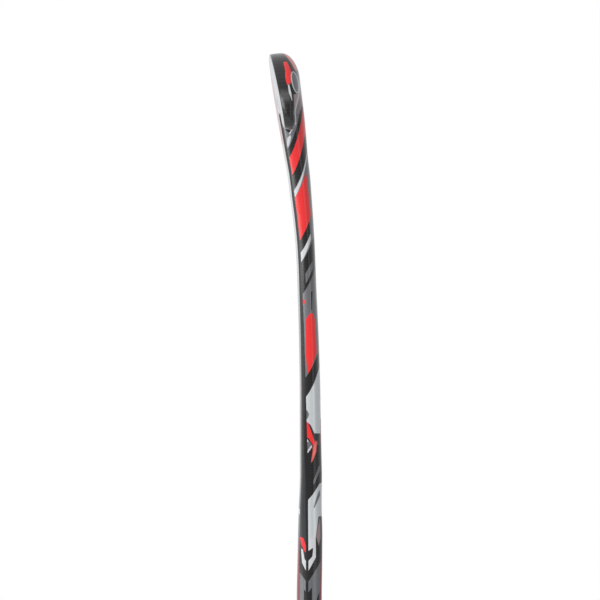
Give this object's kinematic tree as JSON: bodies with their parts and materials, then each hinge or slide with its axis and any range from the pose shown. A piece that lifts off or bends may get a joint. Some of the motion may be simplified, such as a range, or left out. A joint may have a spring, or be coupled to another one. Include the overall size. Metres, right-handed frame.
{
  "type": "field hockey stick",
  "caption": "Composite field hockey stick with a one-piece J-shaped hook, flat playing face, bowed hollow shaft and a spiral-wrapped round handle.",
  "frame": {"origin": "centre of the butt cap's flat end face", "axes": "+Z along the handle axis towards the hook, -Y out of the flat playing face, +X towards the toe of the hook"},
  "size_m": [0.1148, 0.0616, 0.9271],
  "materials": {
    "lacquered_laminate": "clear-coated, painted in red, black, white and silver",
    "rigid_foam": "matt",
    "tube_film": "satin",
    "bare_laminate": "matt",
    "damper_rubber": "matt",
    "cap_rubber": "matt",
    "soft_foam": "matt",
    "grip_cover": "matt, tacky",
    "tape_film": "satin"
  },
  "bodies": {
    "root": {"outer_shell": "lacquered_laminate", "head_foam_core": "rigid_foam", "toe_side_tube": "tube_film", "heel_side_tube": "tube_film", "centre_web": "bare_laminate", "damper_sleeve": "damper_rubber", "handle_plug": "rigid_foam", "butt_cap": "cap_rubber", "grip_underlay": "soft_foam", "grip_wrap": "grip_cover", "finishing_tape": "tape_film"}
  },
  "joints": []
}
